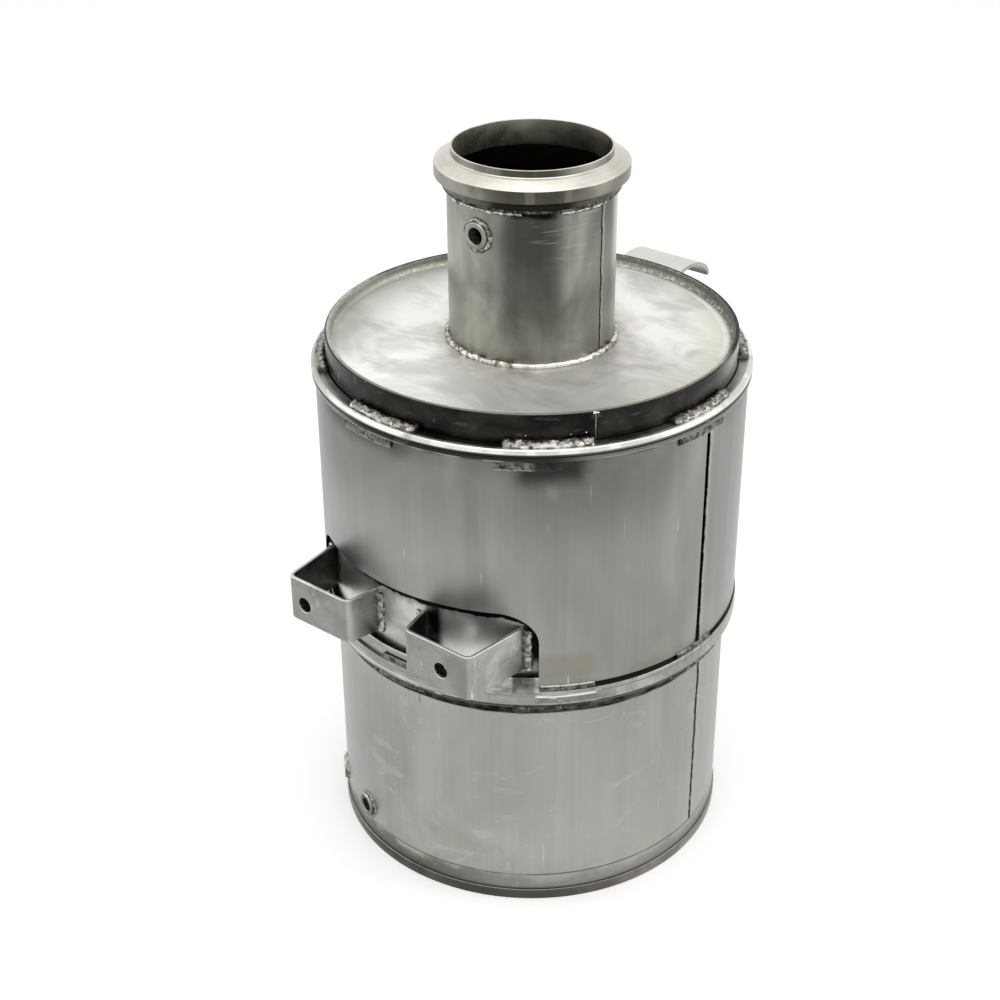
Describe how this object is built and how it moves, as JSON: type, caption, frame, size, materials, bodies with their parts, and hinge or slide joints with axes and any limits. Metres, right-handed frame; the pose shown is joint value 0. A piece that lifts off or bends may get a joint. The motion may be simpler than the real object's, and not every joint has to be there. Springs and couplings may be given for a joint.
{
  "type": "diesel oxidation catalyst",
  "caption": "Welded stainless exhaust catalyst can with an inlet neck, heat shield shell, bent mounting brackets, sensor bosses and a ring flange at the open outlet.",
  "frame": {"origin": "under the middle of the whole part's outline, on the plane of the outlet flange's face; the can's axis lies 8.1 mm towards -Y from it", "axes": "+Z along the can from the outlet to the inlet neck; the mounting brackets face -Y and the rear strap faces +Y"},
  "size_m": [0.345, 0.3938, 0.58],
  "materials": {
    "can_steel": "rolled stainless sheet, satin, with fine upright scratches and handling smudges",
    "shell_steel": "rolled stainless sheet, mid grey, faintly streaked",
    "plate_steel": "pressed stainless, pale and softly brushed, straw heat tint near the welds",
    "neck_steel": "drawn stainless tube, brushed",
    "ring_steel": "pressed stainless, bright on the crown",
    "flange_steel": "turned stainless",
    "bracket_steel": "bent stainless plate, matt with bright edges",
    "weld_metal": "rough weld bead, silver with brown and pink heat tint",
    "brick_ceramic": "coated honeycomb with fine square cells",
    "mat_fibre": "off-white ceramic fibre"
  },
  "bodies": {
    "root": {"outlet_flange": "flange_steel", "catalyst_can": "can_steel", "inlet_chamber_wall": "can_steel", "can_joint_weld": "weld_metal", "catalyst_brick": "brick_ceramic", "mounting_mat": "mat_fibre", "lower_retaining_ring": "can_steel", "upper_retaining_ring": "can_steel", "inlet_end_plate": "plate_steel", "rim_weld": "weld_metal", "neck_tube": "neck_steel", "neck_foot_weld": "weld_metal", "inlet_flange": "flange_steel", "inlet_flange_weld": "weld_metal", "neck_sensor_boss": "flange_steel", "neck_sensor_boss_weld": "weld_metal", "front_outlet_boss": "flange_steel", "front_outlet_boss_weld": "weld_metal", "side_outlet_boss": "flange_steel", "side_outlet_boss_weld": "weld_metal", "heat_shield_shell": "shell_steel", "insulation_blanket": "mat_fibre", "top_closing_ring": "ring_steel", "lower_closing_ring": "ring_steel", "left_bracket": "bracket_steel", "left_bracket_outer_weld": "weld_metal", "left_bracket_inner_weld": "weld_metal", "right_bracket": "bracket_steel", "right_bracket_outer_weld": "weld_metal", "right_bracket_inner_weld": "weld_metal", "rear_strap": "bracket_steel", "rear_strap_weld": "weld_metal"}
  },
  "joints": []
}
